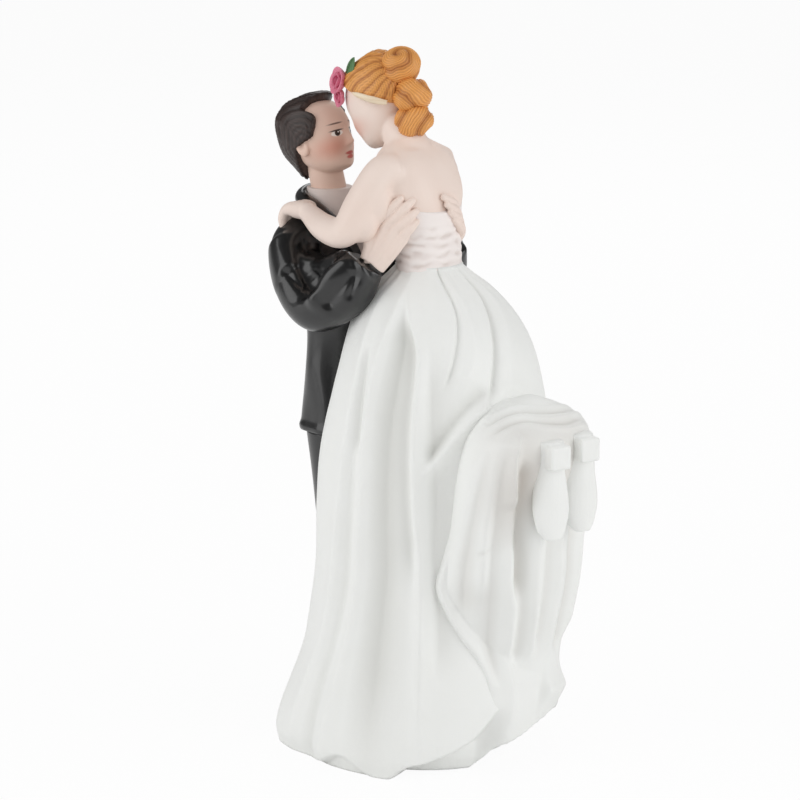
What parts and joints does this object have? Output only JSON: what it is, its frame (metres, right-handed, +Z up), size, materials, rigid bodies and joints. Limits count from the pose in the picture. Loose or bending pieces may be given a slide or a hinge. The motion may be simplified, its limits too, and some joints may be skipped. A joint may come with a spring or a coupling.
{
  "type": "wedding cake topper",
  "caption": "Painted resin cake topper: a groom in a black suit lifts a bride in a long white gown, her calves raised under the train and her arms on the groom's shoulders.",
  "frame": {"origin": "on the ground, under the middle of the gown's hem", "axes": "+Z up; +X from the groom to the bride; +Y to the groom's left"},
  "size_m": [0.0775, 0.0559, 0.1403],
  "materials": {
    "skin": "satin painted resin",
    "brown_hair": "satin painted resin",
    "shirt": "matt painted resin",
    "black_suit": "gloss painted resin",
    "blonde_hair": "satin painted resin with darker strand lines",
    "rose_pink": "satin painted resin",
    "leaf_green": "satin painted resin",
    "ivory": "satin painted resin",
    "white_gown": "matt white painted resin"
  },
  "bodies": {
    "root": {"groom_head": "skin", "groom_hair": "brown_hair", "groom_shirt": "shirt", "groom_jacket": "black_suit", "groom_lapels": "black_suit", "groom_right_trouser": "black_suit", "groom_left_trouser": "black_suit", "groom_right_shoe": "black_suit", "groom_left_shoe": "black_suit", "groom_right_sleeve": "black_suit", "groom_left_sleeve": "black_suit", "groom_right_hand": "skin", "groom_left_hand": "skin", "bride_head": "skin", "bride_hair": "blonde_hair", "bride_curl_upper": "blonde_hair", "bride_curl_middle": "blonde_hair", "bride_curl_lower": "blonde_hair", "bride_rose": "rose_pink", "bride_rose_leaf": "leaf_green", "bride_hair_ribbon": "ivory", "bride_torso": "skin", "bride_bodice": "white_gown", "bride_left_arm": "skin", "bride_right_arm": "skin", "bride_skirt": "white_gown", "bride_train": "white_gown", "bride_left_shoe": "white_gown", "bride_right_shoe": "white_gown"}
  },
  "joints": []
}
